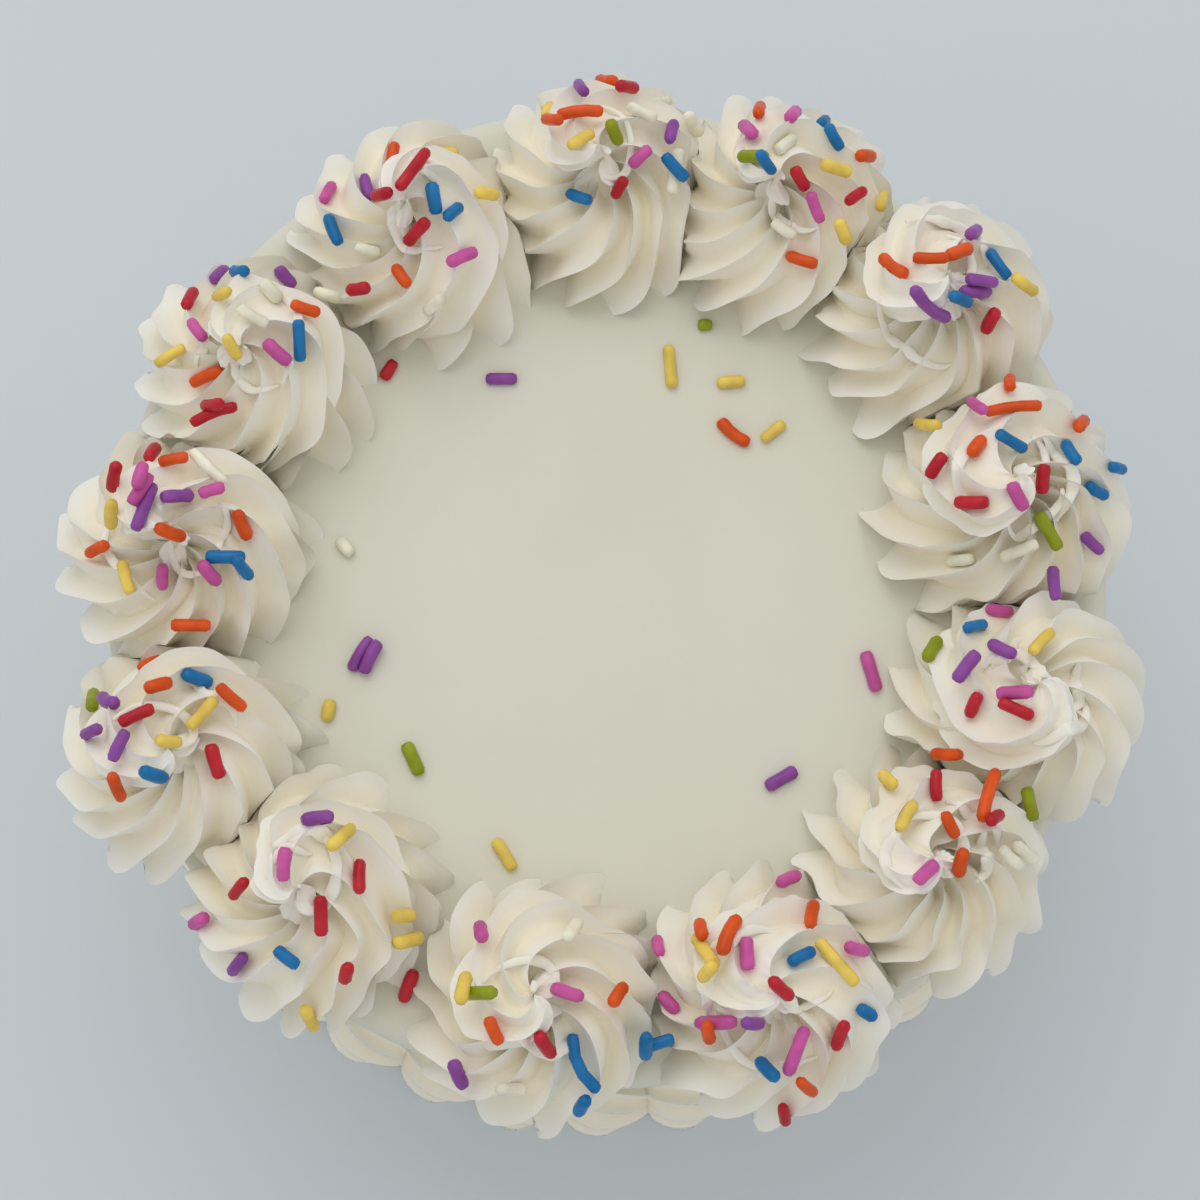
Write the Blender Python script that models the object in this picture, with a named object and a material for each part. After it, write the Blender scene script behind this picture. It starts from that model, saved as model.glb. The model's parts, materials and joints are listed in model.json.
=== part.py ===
"""A round vanilla cake iced smooth, with a ring of piped swirls, a shell border round its foot and sprinkles.

Units are metres and +Z is up. The origin is the middle of the cake's underside. The front is towards -Y.
"""

import itertools
import math
import random
from typing import NamedTuple

import bmesh
import bpy
import numpy as np
from mathutils import Matrix, Vector
from mathutils.bvhtree import BVHTree

MM = 0.001
GAP = 0.3 * MM  # between neighbouring pieces
SIDE_CLEARANCE = 0.45 * MM  # from a swirl to half-way to the next, before its skin is thinned
FLOOR_CLEARANCE = 0.45 * MM  # from a swirl to the cake's top, likewise

# The iced cake
CAKE_RADIUS = 78 * MM
CAKE_HEIGHT = 78 * MM
EDGE_ROUND = 4 * MM
EDGE_STEPS = 3
CAKE_SIDES = 56

# The nozzle's rope of icing, for a swirl of the usual width. It swells from nothing at its start and
# thins to a point at its end, over a share of a turn.
SWIRL_WIDTH = 37 * MM
STAR_TEETH = 7
STAR_GROOVE = 0.34  # depth of the grooves as a share of the rope's radius
STAR_SHARPNESS = 0.8
TWIST_AT_FOOT = 2.0  # turns of the star round the rope's middle line in one turn of the coil
TWIST_AT_TOP = 0.6
TWIST_FADE = 0.5  # share of the climb over which the one gives way to the other
FOOT_FLARE = 0.26  # how far a crest's foot splays, as a share of the rope's radius
FLARE_HEIGHT = 5.0 * MM
FLARE_POWER = 1.5  # above 1 makes the feet more pointed
TUCK_DEPTH = 2.5 * MM  # depth below the cake's top at which the rope would be tucked in to nothing
ROPE_RADIUS = 10.8 * MM
ROPE_END_RADIUS = 5.0 * MM
ROPE_SQUASH = 0.86
COIL_RADIUS = 6.6 * MM
COIL_END_RADIUS = 1.0 * MM
LEVEL_TURNS = 0.9  # how far the coil goes round, almost level, before it climbs and draws in
DRAW_IN_POWER = 1.5  # above 1 keeps the coil wide at first and draws it in towards the peak
LEVEL_RISE = 2.5 * MM
CLIMB = 16.5 * MM
SWELL_TURNS = 0.07
THIN_TURNS = 0.25
THIN_POWER = 0.6
TIP_TURNS = 0.01  # keeps the two end caps from closing to a point
ROPE_START_HEIGHT = 2.0 * MM
ROPE_STEPS_PER_TURN = 120
ROPE_SIDES = 98
CORE_SIDES = 24
CORE_PROFILE = ((10.0, -4.0), (10.0, 1.0), (6.0, 8.0), (1.0, 13.0))  # radius and height in mm, upwards
REMESH_SIZE = 0.7 * MM
SWIRL_TRIANGLES = 510
SHORTEST_EDGE = 0.00005 * MM

# The shell border round the foot
SHELLS = 34
SHELL_STEPS = 4
SHELL_SECTION = ((0.0, 0.0), (0.0, 0.75), (0.42, 1.0), (0.9, 0.6), (1.0, 0.0))  # shares of width and height
BORDER_WIDTH = 8.6 * MM
BORDER_HEIGHT = 10.5 * MM
BORDER_WAIST = 0.55  # size of the border between two shells as a share of a whole shell
BORDER_FULLNESS = 0.8  # below 1 makes each shell fuller towards its ends

# Sprinkles
SPRINKLE_RADIUS = 1.0 * MM
SPRINKLE_SIDES = 5
SPRINKLE_POINT = 0.5  # length of a sprinkle's pointed end as a share of its radius
SPRINKLE_SINK = 0.25 * MM  # how far a sprinkle's middle line lies above the icing
SPRINKLES_PER_SWIRL = 8
ABOVE_SWIRLS = 60 * MM  # the height over the cake from which a sprinkle is dropped
SHORT_LENGTHS = (4.0, 5.6)  # millimetres
SPRINKLE_CLEARANCE = 5.0  # millimetres between the middles of two sprinkles
GOLDEN_ANGLE = 137.5  # degrees from one place of a cluster's spiral to the next
SEED = 13

ICING = (0.78, 0.74, 0.62)
COLOURS = {
    "orange": (0.72, 0.10, 0.01),
    "red": (0.55, 0.015, 0.03),
    "blue": (0.005, 0.20, 0.46),
    "purple": (0.30, 0.08, 0.36),
    "pink": (0.62, 0.11, 0.37),
    "yellow": (0.80, 0.58, 0.09),
    "green": (0.30, 0.36, 0.01),
    "white": (0.83, 0.79, 0.60),
}
LETTERS = dict(zip("orbpkygw", COLOURS))


class Swirl(NamedTuple):
    """One piped swirl: its middle and width in millimetres, its rope's first angle in degrees, its turns."""

    x: float
    y: float
    width: float
    start: float
    turns: float


# Clockwise from the back, seen from above
SWIRLS = (
    Swirl(-1.0, 61.5, 38, 324, 1.8),
    Swirl(26.5, 57.5, 38, 296, 1.8),
    Swirl(50.3, 41.0, 39, 336, 1.9),
    Swirl(60.5, 10.5, 40, 15, 1.85),
    Swirl(62.5, -20.5, 38, 47, 1.95),
    Swirl(47.5, -45.0, 37, 345, 1.85),
    Swirl(24.0, -64.0, 38, 307, 1.95),
    Swirl(-10.0, -65.0, 38, 310, 2.1),
    Swirl(-44.0, -49.5, 39, 276, 1.9),
    Swirl(-64.0, -28.5, 38, 327, 1.95),
    Swirl(-64.5, 3.0, 39, 333, 1.75),
    Swirl(-55.0, 31.5, 38, 246, 1.9),
    Swirl(-30.0, 53.0, 39, 245, 1.85),
)


class Cluster(NamedTuple):
    """The sprinkles strewn on one swirl, along a spiral.

    x and y lead from the swirl's middle to the spiral's, and reach is the spiral's outer radius, all in
    millimetres. start is the spiral's first angle in degrees. The letters are the colours from its middle
    outwards, and a dot is a place that a long sprinkle takes.
    """

    x: float
    y: float
    reach: float
    start: float
    colours: str


CLUSTERS = (
    Cluster(3, 5, 13, 250, "gw.krypprwobobwy."),
    Cluster(4.5, 2, 13, 225, "rywkbbrkwo.yb.yoo"),
    Cluster(4, 1, 9, 335, "pobborp.y"),
    Cluster(2, 2, 17, 330, "r.kbo..rbk.orpowbyp"),
    Cluster(-6, 4, 10, 55, "pp.bryg.k"),
    Cluster(4, 6, 12, 215, "orro.ywokgy"),
    Cluster(-2, 1, 17, 340, "rkpby..o.obokr..kkokb"),
    Cluster(1, -3.5, 16, 275, "rko..woybwpbk"),
    Cluster(0.5, -2.5, 18, 335, ".kbrrrppy.y.kr"),
    Cluster(-1.5, 3, 12, 170, "ryop..bbprooog"),
    Cluster(0, 1, 13, 290, "op..kkkykoyor..obr"),
    Cluster(0, 4, 14, 350, "wyywkkboor.py.prw"),
    Cluster(-1, -0.5, 15, 165, "rr.wbpo.bkorykwy"),
)


class Sprinkle(NamedTuple):
    """One sprinkle: its colour, its middle and length in millimetres, and its heading in degrees."""

    colour: str
    x: float
    y: float
    length: float
    heading: float


# The long ones that stand out on the swirls
LONG_SPRINKLES = (
    Sprinkle("orange", -4.0, 67.0, 7.0, 5),
    Sprinkle("white", 10.5, 60.0, 7.0, 80),
    Sprinkle("pink", 21.5, 65.5, 6.5, 110),
    Sprinkle("green", 22.0, 60.0, 5.5, 160),
    Sprinkle("purple", 48.0, 36.5, 10.0, 160),
    Sprinkle("purple", 55.5, 40.0, 6.5, 15),
    Sprinkle("orange", 43.0, 43.0, 6.0, 130),
    Sprinkle("orange", 60.5, 21.5, 8.5, 5),
    Sprinkle("green", 66.0, 4.0, 6.5, 120),
    Sprinkle("blue", 60.0, 16.5, 6.0, 160),
    Sprinkle("white", 61.5, 1.0, 6.0, 20),
    Sprinkle("pink", 59.0, -21.5, 5.5, 0),
    Sprinkle("red", 59.0, -24.0, 5.5, 155),
    Sprinkle("orange", 55.5, -36.0, 9.0, 70),
    Sprinkle("white", 61.0, -44.0, 6.0, 155),
    Sprinkle("yellow", 33.0, -60.0, 8.5, 130),
    Sprinkle("yellow", 14.0, -58.5, 8.5, 120),
    Sprinkle("pink", 27.0, -72.5, 8.0, 70),
    Sprinkle("pink", 15.5, -68.5, 7.5, 0),
    Sprinkle("orange", 17.5, -56.5, 6.5, 65),
    Sprinkle("blue", -3.0, -74.0, 9.0, 115),
    Sprinkle("green", -18.0, -64.5, 6.0, 0),
    Sprinkle("yellow", -38.0, -42.5, 6.0, 50),
    Sprinkle("yellow", -29.0, -56.5, 6.0, 20),
    Sprinkle("red", -41.0, -53.5, 6.0, 90),
    Sprinkle("yellow", -59.0, -24.0, 6.0, 50),
    Sprinkle("purple", -72.5, -22.0, 6.0, 150),
    Sprinkle("purple", -67.5, 5.5, 8.0, 75),
    Sprinkle("pink", -68.0, 8.0, 5.5, 60),
    Sprinkle("white", -59.0, 12.5, 7.5, 135),
    Sprinkle("blue", -56.5, -0.5, 6.0, 0),
    Sprinkle("orange", -62.0, -10.0, 6.0, 0),
    Sprinkle("red", -59.0, 21.5, 7.5, 20),
    Sprinkle("blue", -46.0, 32.0, 6.5, 90),
    Sprinkle("red", -29.0, 57.0, 8.5, 60),
    Sprinkle("blue", -26.0, 53.5, 5.0, 100),
)

# The few on the flat top
TOP_SPRINKLES = (
    Sprinkle("purple", -16.5, 31.5, 5.0, 0),
    Sprinkle("yellow", 10.0, 33.5, 7.0, 95),
    Sprinkle("yellow", 19.5, 31.0, 4.5, 5),
    Sprinkle("orange", 20.0, 23.0, 6.0, 140),
    Sprinkle("yellow", 26.0, 23.0, 4.5, 40),
    Sprinkle("purple", -37.5, -13.0, 6.0, 60),
    Sprinkle("yellow", -42.5, -21.0, 3.4, 80),
    Sprinkle("green", -29.5, -28.5, 5.5, 115),
    Sprinkle("purple", 26.5, -31.5, 5.5, 30),
    Sprinkle("pink", 40.5, -15.0, 6.5, 105),
    Sprinkle("white", -40.5, 4.5, 3.4, 130),
)


def clear_scene():
    for item in list(bpy.data.objects):
        bpy.data.objects.remove(item, do_unlink=True)


def icing_material(name, colour, roughness):
    material = bpy.data.materials.new(name)
    material.use_nodes = True
    shader = material.node_tree.nodes["Principled BSDF"]
    shader.inputs["Base Color"].default_value = (*colour, 1.0)
    shader.inputs["Roughness"].default_value = roughness
    shader.inputs["Metallic"].default_value = 0.0
    return material


def add_mesh(name, points, faces, material):
    mesh = bpy.data.meshes.new(name)
    mesh.from_pydata(points.tolist(), [], faces)
    mesh.update()
    item = bpy.data.objects.new(name, mesh)
    bpy.context.scene.collection.objects.link(item)
    item.data.materials.append(material)
    return item


def tube_faces(rings, sides):
    """Faces of a tube of rings that all have the same number of sides, with a flat cap at each end."""
    ring = np.arange(rings - 1)[:, None] * sides
    side = np.arange(sides)[None, :]
    following = (side + 1) % sides
    quads = np.stack([ring + side, ring + sides + side, ring + sides + following, ring + following], -1)
    last = (rings - 1) * sides
    caps = [list(range(sides)), list(range(last + sides - 1, last - 1, -1))]
    return quads.reshape(-1, 4).tolist() + caps


def ring_faces(columns, sides):
    """Faces of a closed ring of columns that all have the same number of sides."""
    column = np.arange(columns)[:, None]
    side = np.arange(sides)[None, :]
    ahead = (column + 1) % columns
    following = (side + 1) % sides
    here = column * sides
    there = ahead * sides
    quads = np.stack([here + side, here + following, there + following, there + side], -1)
    return quads.reshape(-1, 4).tolist()


def smooth_step(x):
    x = np.clip(x, 0.0, 1.0)
    return x * x * (3.0 - 2.0 * x)


def apply_modifiers(item):
    """Keeps the shape that the object's modifiers make, and removes them."""
    graph = bpy.context.evaluated_depsgraph_get()
    made = bpy.data.meshes.new_from_object(item.evaluated_get(graph))
    item.modifiers.clear()
    item.data = made


def remove(item):
    bpy.data.objects.remove(item, do_unlink=True)


def keep_largest_body(item):
    """Drops loose scraps and the walls of sealed hollows, so that one solid body is left."""
    shape = bmesh.new()
    shape.from_mesh(item.data)
    unseen = set(shape.faces)
    bodies = []
    while unseen:
        body = {unseen.pop()}
        edge_of_body = list(body)
        while edge_of_body:
            face = edge_of_body.pop()
            edges = [edge for edge in face.edges if len(edge.link_faces) == 2]
            linked = {other for edge in edges for other in edge.link_faces} - body
            body |= linked
            edge_of_body.extend(linked)
        unseen -= body
        bodies.append(body)
    bodies.sort(key=len)
    scraps = [face for body in bodies[:-1] for face in body]
    bmesh.ops.delete(shape, geom=scraps, context="FACES")
    shape.to_mesh(item.data)
    shape.free()


def turned_cake(name, material):
    """The cake's round body with a rounded top edge."""
    angles = np.linspace(0.0, math.pi / 2, EDGE_STEPS + 1)
    radii = np.append(CAKE_RADIUS, CAKE_RADIUS - EDGE_ROUND + EDGE_ROUND * np.cos(angles))
    heights = np.append(0.0, CAKE_HEIGHT - EDGE_ROUND + EDGE_ROUND * np.sin(angles))
    turn = -np.linspace(0.0, 2 * math.pi, CAKE_SIDES, endpoint=False)
    level = np.outer(heights, np.ones(CAKE_SIDES))
    points = np.stack([np.outer(radii, np.cos(turn)), np.outer(radii, np.sin(turn)), level], -1)
    return add_mesh(name, points.reshape(-1, 3), tube_faces(len(radii), CAKE_SIDES), material)


def rope_points(swirl):
    """Points of the rope that the nozzle lays, ring by ring.

    The middle line goes round almost level at first, then draws in to the peak as it climbs. The section is a
    star that winds round the middle line, from the outside over the top to the inside, fast at the foot and
    slower towards the peak. Low on the outside each crest splays into a pointed foot.
    """
    rings = round(ROPE_STEPS_PER_TURN * swirl.turns)
    turn = np.linspace(0.0, swirl.turns, rings)[:, None]
    left = swirl.turns - turn
    climbed = np.clip((turn - LEVEL_TURNS) / (swirl.turns - LEVEL_TURNS), 0.0, 1.0)
    drawn_in = climbed**DRAW_IN_POWER
    coil = COIL_RADIUS + (COIL_END_RADIUS - COIL_RADIUS) * drawn_in
    rope = ROPE_RADIUS + (ROPE_END_RADIUS - ROPE_RADIUS) * drawn_in
    rope = rope * np.sqrt(np.clip((turn + TIP_TURNS) / SWELL_TURNS, 0.0, 1.0))
    rope = rope * np.clip((left + TIP_TURNS) / THIN_TURNS, 0.0, 1.0) ** THIN_POWER
    height = ROPE_START_HEIGHT + LEVEL_RISE * np.minimum(turn / LEVEL_TURNS, 1.0) + CLIMB * climbed
    twist_rate = TWIST_AT_FOOT + (TWIST_AT_TOP - TWIST_AT_FOOT) * smooth_step(climbed / TWIST_FADE)
    twist = 2 * math.pi * np.cumsum(twist_rate, 0) * swirl.turns / rings
    around = np.linspace(0.0, 2 * math.pi, ROPE_SIDES, endpoint=False)[None, :]
    groove = np.abs(np.sin(STAR_TEETH * (around - twist) / 2)) ** STAR_SHARPNESS
    star = rope * (1.0 - STAR_GROOVE * groove)
    over_cake = height + ROPE_SQUASH * star * np.sin(around)
    lowness = np.exp(-((over_cake / FLARE_HEIGHT) ** 2))
    foot = FOOT_FLARE * lowness * np.maximum(np.cos(around), 0.0) * (1.0 - groove) ** FLARE_POWER
    star = star + rope * foot
    up = height + ROPE_SQUASH * star * np.sin(around)
    tucked = 1.0 - np.clip(-up / TUCK_DEPTH, 0.0, 1.0)
    out = coil + star * np.cos(around) * tucked
    angle = math.radians(swirl.start) + 2 * math.pi * turn
    points = np.stack([out * np.cos(angle), out * np.sin(angle), up], -1)
    return points.reshape(-1, 3), tube_faces(rings, ROPE_SIDES)


def core_points():
    """A blunt cone that fills the middle of the coil."""
    turn = -np.linspace(0.0, 2 * math.pi, CORE_SIDES, endpoint=False)
    radii, heights = np.array(CORE_PROFILE).T[:, :, None] * MM
    points = np.stack([radii * np.cos(turn), radii * np.sin(turn), heights + 0 * turn], -1)
    return points.reshape(-1, 3), tube_faces(len(CORE_PROFILE), CORE_SIDES)


def settled(points, swirl, neighbours):
    """Points of a swirl that has settled: none below the cake's top or past half-way to the next swirls."""
    points = points.copy()
    middle = np.array([swirl.x, swirl.y]) * MM
    for other in neighbours:
        across = np.array([other.x, other.y]) * MM - middle
        half_way = np.linalg.norm(across) / 2 - SIDE_CLEARANCE
        across /= np.linalg.norm(across)
        excess = np.maximum((points[:, :2] - middle) @ across - half_way, 0.0)
        points[:, :2] -= excess[:, None] * across
    points[:, 2] = np.maximum(points[:, 2], CAKE_HEIGHT + FLOOR_CLEARANCE)
    return points


def fused_swirl(name, swirl, neighbours, material):
    """The rope and its core fused into one closed skin, in place on the cake."""
    rope, rope_faces = rope_points(swirl)
    core, core_faces = core_points()
    shifted = [[index + len(rope) for index in face] for face in core_faces]
    size = swirl.width * MM / SWIRL_WIDTH
    points = np.concatenate([rope, core]) * size + (swirl.x * MM, swirl.y * MM, CAKE_HEIGHT)
    item = add_mesh(name, settled(points, swirl, neighbours), rope_faces + shifted, material)
    remesh = item.modifiers.new("Fuse", "REMESH")
    remesh.mode = "VOXEL"
    remesh.voxel_size = REMESH_SIZE
    apply_modifiers(item)
    keep_largest_body(item)
    item.data.materials.clear()
    item.data.materials.append(material)
    return item


def thin_out(item, triangles):
    """Merges faces until about so many triangles are left, flat stretches first, so that ridges stay."""
    item.data.calc_loop_triangles()
    thin = item.modifiers.new("Thin", "DECIMATE")
    thin.ratio = triangles / len(item.data.loop_triangles)
    apply_modifiers(item)


def strewn_sprinkles(swirl, cluster, number):
    """The short sprinkles of one swirl, a golden angle apart along a spiral of even density."""
    draw = random.Random(SEED + number)
    strewn = []
    for place, letter in enumerate(cluster.colours):
        reach = cluster.reach * math.sqrt((place + 0.5) / len(cluster.colours))
        angle = math.radians(cluster.start + GOLDEN_ANGLE * place)
        x = swirl.x + cluster.x + reach * math.cos(angle)
        y = swirl.y + cluster.y + reach * math.sin(angle)
        length = draw.uniform(*SHORT_LENGTHS)
        heading = draw.uniform(0.0, 180.0)
        if letter in LETTERS:
            strewn.append(Sprinkle(LETTERS[letter], x, y, length, heading))
    return strewn


def apart(a, b):
    return math.hypot(a.x - b.x, a.y - b.y)


def chosen_sprinkles(swirl, neighbours, number):
    """The sprinkles with room for themselves, long ones first, clear of each other and of the next swirls."""
    long_ones = [s for s in LONG_SPRINKLES if min(SWIRLS, key=lambda other: apart(s, other)) is swirl]
    chosen = []
    for sprinkle in long_ones + strewn_sprinkles(swirl, CLUSTERS[number], number):
        crowded = any(apart(sprinkle, taken) < SPRINKLE_CLEARANCE for taken in chosen)
        room = min(apart(sprinkle, other) - apart(sprinkle, swirl) for other in neighbours)
        if not crowded and room > sprinkle.length + 2 * SPRINKLE_RADIUS / MM:
            chosen.append(sprinkle)
    return chosen


def sprinkle_on(surface, sprinkle, material, lift):
    """A short rod with pointed ends, lying on the icing, or none where it would reach too low."""
    above = Vector((sprinkle.x * MM, sprinkle.y * MM, CAKE_HEIGHT + ABOVE_SWIRLS))
    place, normal, _, _ = surface.ray_cast(above, Vector((0, 0, -1)))
    if place is None:
        return None
    heading = math.radians(sprinkle.heading)
    length = sprinkle.length * MM
    along = Vector((math.cos(heading), math.sin(heading), 0))
    along = (along - normal * along.dot(normal)).normalized()
    side = normal.cross(along)
    turn = np.linspace(0.0, 2 * math.pi, SPRINKLE_SIDES, endpoint=False)
    ring = np.stack([0 * turn, np.cos(turn), np.sin(turn)], -1) * SPRINKLE_RADIUS
    half = length / 2 - SPRINKLE_POINT * SPRINKLE_RADIUS
    points = [(-length / 2, 0, 0), *(ring + (-half, 0, 0)), *(ring + (half, 0, 0)), (length / 2, 0, 0)]
    n = SPRINKLE_SIDES
    faces = []
    for i in range(n):
        j = (i + 1) % n
        faces += [[0, 1 + j, 1 + i], [1 + i, 1 + j, 1 + n + j, 1 + n + i], [1 + n + i, 1 + n + j, 2 * n + 1]]
    frame = Matrix((along, side, normal)).transposed()
    centre = place + normal * SPRINKLE_SINK
    placed = np.array([frame @ Vector(point) + centre for point in points])
    if placed[:, 2].min() < CAKE_HEIGHT + lift:
        return None
    return add_mesh(f"sprinkle_{sprinkle.colour}", placed, faces, material)


def is_closed_skin(mesh):
    """Whether each edge has two faces and a real length, and no parts of the skin meet in a single point."""
    shape = bmesh.new()
    shape.from_mesh(mesh)
    closed = all(len(edge.link_faces) == 2 for edge in shape.edges)
    closed = closed and all(corner.is_manifold for corner in shape.verts)
    closed = closed and all(edge.calc_length() > SHORTEST_EDGE for edge in shape.edges)
    shape.free()
    return closed


def join_rods(item, group, solver):
    """One union of the icing with all the rods of a group."""
    union = item.modifiers.new("Sprinkles", "BOOLEAN")
    union.operation = "UNION"
    union.solver = solver
    union.operand_type = "COLLECTION"
    union.collection = group
    if solver == "EXACT":
        union.material_mode = "TRANSFER"
    apply_modifiers(item)
    keep_largest_body(item)


def fuse_sprinkles(item, sprinkles, most, materials, lift):
    """Joins the first sprinkles that fit, up to a number, to the icing that they lie on.

    None of them reaches below the cake's top plus the lift.
    """
    surface = BVHTree.FromObject(item, bpy.context.evaluated_depsgraph_get())
    placed = (sprinkle_on(surface, sprinkle, materials[sprinkle.colour], lift) for sprinkle in sprinkles)
    rods = list(itertools.islice(filter(None, placed), most))
    group = bpy.data.collections.new("sprinkles")
    bpy.context.scene.collection.children.link(group)
    for rod in rods:
        bpy.context.scene.collection.objects.unlink(rod)
        group.objects.link(rod)
    bare = item.data
    join_rods(item, group, "EXACT")
    if not is_closed_skin(item.data):
        item.data = bare
        join_rods(item, group, "MANIFOLD")
    for rod in rods:
        remove(rod)
    bpy.data.collections.remove(group)


def build_cake_body(icing, materials):
    body = turned_cake("cake_body", icing)
    fuse_sprinkles(body, TOP_SPRINKLES, len(TOP_SPRINKLES), materials, -SPRINKLE_RADIUS)
    return body


def build_swirls(icing, materials):
    for index, swirl in enumerate(SWIRLS):
        neighbours = (SWIRLS[index - 1], SWIRLS[(index + 1) % len(SWIRLS)])
        item = fused_swirl(f"swirl_{index + 1:02d}", swirl, neighbours, icing)
        thin_out(item, SWIRL_TRIANGLES)
        fuse_sprinkles(item, chosen_sprinkles(swirl, neighbours, index), SPRINKLES_PER_SWIRL, materials, GAP)


def build_foot_border(icing):
    """A row of shells laid end to end, each swelling quickly and tapering off into the next."""
    columns = SHELLS * SHELL_STEPS
    column = np.arange(columns)[:, None]
    along = (column % SHELL_STEPS) / SHELL_STEPS
    swell = BORDER_WAIST + (1 - BORDER_WAIST) * np.sin(math.pi * along) ** BORDER_FULLNESS
    angle = 2 * math.pi * column / columns
    section = np.array(SHELL_SECTION)
    out = CAKE_RADIUS + GAP + BORDER_WIDTH * swell * section[:, 0]
    up = BORDER_HEIGHT * swell * section[:, 1]
    points = np.stack([out * np.cos(angle), out * np.sin(angle), up], -1)
    return add_mesh("foot_border", points.reshape(-1, 3), ring_faces(columns, len(section)), icing)


def main():
    clear_scene()
    smooth_icing = icing_material("smooth_icing", ICING, 0.5)
    piped_icing = icing_material("piped_icing", ICING, 0.45)
    materials = {name: icing_material(f"sprinkle_{name}", colour, 0.3) for name, colour in COLOURS.items()}
    build_cake_body(smooth_icing, materials)
    build_foot_border(piped_icing)
    build_swirls(piped_icing, materials)


main()
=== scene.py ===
# %% [markdown]
# # A vanilla cake with piped swirls
#
# This lesson gives a cake its looks in Blender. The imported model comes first. It holds the right sizes, but
# it is coarse: flat facets and no colours. Each of its pieces is then replaced by a fine one of the same
# form, made of points that numpy works out, and gets a material of its own.

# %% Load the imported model
import json
import math
import random
from typing import NamedTuple

import bpy
import numpy as np
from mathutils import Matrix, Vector

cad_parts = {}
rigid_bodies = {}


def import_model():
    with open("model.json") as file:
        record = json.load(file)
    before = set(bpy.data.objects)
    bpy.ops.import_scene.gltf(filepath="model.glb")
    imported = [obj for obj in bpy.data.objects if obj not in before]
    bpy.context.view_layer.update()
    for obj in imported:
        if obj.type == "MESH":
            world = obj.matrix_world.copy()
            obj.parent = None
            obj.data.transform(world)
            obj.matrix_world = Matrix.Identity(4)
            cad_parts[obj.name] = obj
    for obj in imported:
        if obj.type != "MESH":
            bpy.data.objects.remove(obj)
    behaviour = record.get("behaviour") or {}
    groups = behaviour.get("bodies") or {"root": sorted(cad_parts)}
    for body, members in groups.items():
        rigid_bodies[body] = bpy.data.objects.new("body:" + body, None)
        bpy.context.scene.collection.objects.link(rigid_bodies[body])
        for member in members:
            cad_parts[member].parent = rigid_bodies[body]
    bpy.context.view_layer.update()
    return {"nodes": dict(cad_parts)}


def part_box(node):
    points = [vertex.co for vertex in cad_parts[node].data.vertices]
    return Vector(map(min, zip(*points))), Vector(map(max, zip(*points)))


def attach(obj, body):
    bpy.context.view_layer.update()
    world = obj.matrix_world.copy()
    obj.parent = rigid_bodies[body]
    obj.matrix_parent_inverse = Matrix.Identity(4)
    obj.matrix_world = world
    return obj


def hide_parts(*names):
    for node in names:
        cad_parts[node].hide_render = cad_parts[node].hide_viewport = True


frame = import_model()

MM = 0.001


print("nodes:", ", ".join(sorted(frame["nodes"])))

# %% [markdown]
# ## Sizes
#
# The body's radius and the border's width and height are read from the frame, so they can't drift from the
# model. The height of the flat top is named here instead, as the sprinkles on it reach past it. The swirls'
# places are the ones that they have on the model: a list of thirteen, because a ring piped by hand follows no
# rule.

# %% Sizes of the cake
_, body_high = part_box("cake_body")
_, border_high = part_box("foot_border")
CAKE_RADIUS = body_high.x
CAKE_HEIGHT = 78 * MM
EDGE_ROUND = 4 * MM
BORDER_HEIGHT = border_high.z
BORDER_WIDTH = border_high.x - CAKE_RADIUS
TAU = 2 * math.pi
print(f"body {CAKE_RADIUS / MM:.1f} mm in radius")
print(f"border {BORDER_WIDTH / MM:.1f} mm wide and {BORDER_HEIGHT / MM:.1f} mm high")

# %% Places of the swirls


class Swirl(NamedTuple):
    """One piped swirl: its middle and width in mm, its rope's first angle in degrees, its turns, how many
    turns its drawn-off tail makes over its top, and how rough it is, in its wrinkles and torn strands."""

    x: float
    y: float
    width: float
    start: float
    turns: float
    tail: float
    rough: float


# Clockwise from the back, seen from above
SWIRLS = (
    Swirl(-1.0, 61.5, 38, 324, 1.8, 0.55, 0.6),
    Swirl(26.5, 57.5, 38, 296, 1.8, 0.25, 0.6),
    Swirl(50.3, 41.0, 39, 336, 1.9, 0.40, 1.4),
    Swirl(60.5, 10.5, 40, 15, 1.85, 0.30, 1.8),
    Swirl(62.5, -20.5, 38, 47, 1.95, 0.35, 1.8),
    Swirl(47.5, -45.0, 37, 345, 1.85, 0.60, 2.0),
    Swirl(24.0, -64.0, 38, 307, 1.95, 0.20, 1.6),
    Swirl(-10.0, -65.0, 38, 310, 2.1, 0.50, 1.0),
    Swirl(-44.0, -49.5, 39, 276, 1.9, 0.55, 1.2),
    Swirl(-64.0, -28.5, 38, 327, 1.95, 0.60, 1.0),
    Swirl(-64.5, 3.0, 39, 333, 1.75, 0.20, 1.6),
    Swirl(-55.0, 31.5, 38, 246, 1.9, 0.30, 1.4),
    Swirl(-30.0, 53.0, 39, 245, 1.85, 0.35, 0.8),
)
print(len(SWIRLS), "swirls in the ring")

# %% [markdown]
# ## Surfaces from numpy
#
# Every piece here is a grid of points: rows of points that run round the piece. One helper joins the points
# of such a grid with quads and closes both of its ends with a fan of triangles round a pole. Faces are made
# as whole arrays, which is quick and has no mistakes at the seam, as the column after the last is the first.

# %% A closed tube from a grid
CYCLE_SPREAD = (0.5, 1.5)


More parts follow.
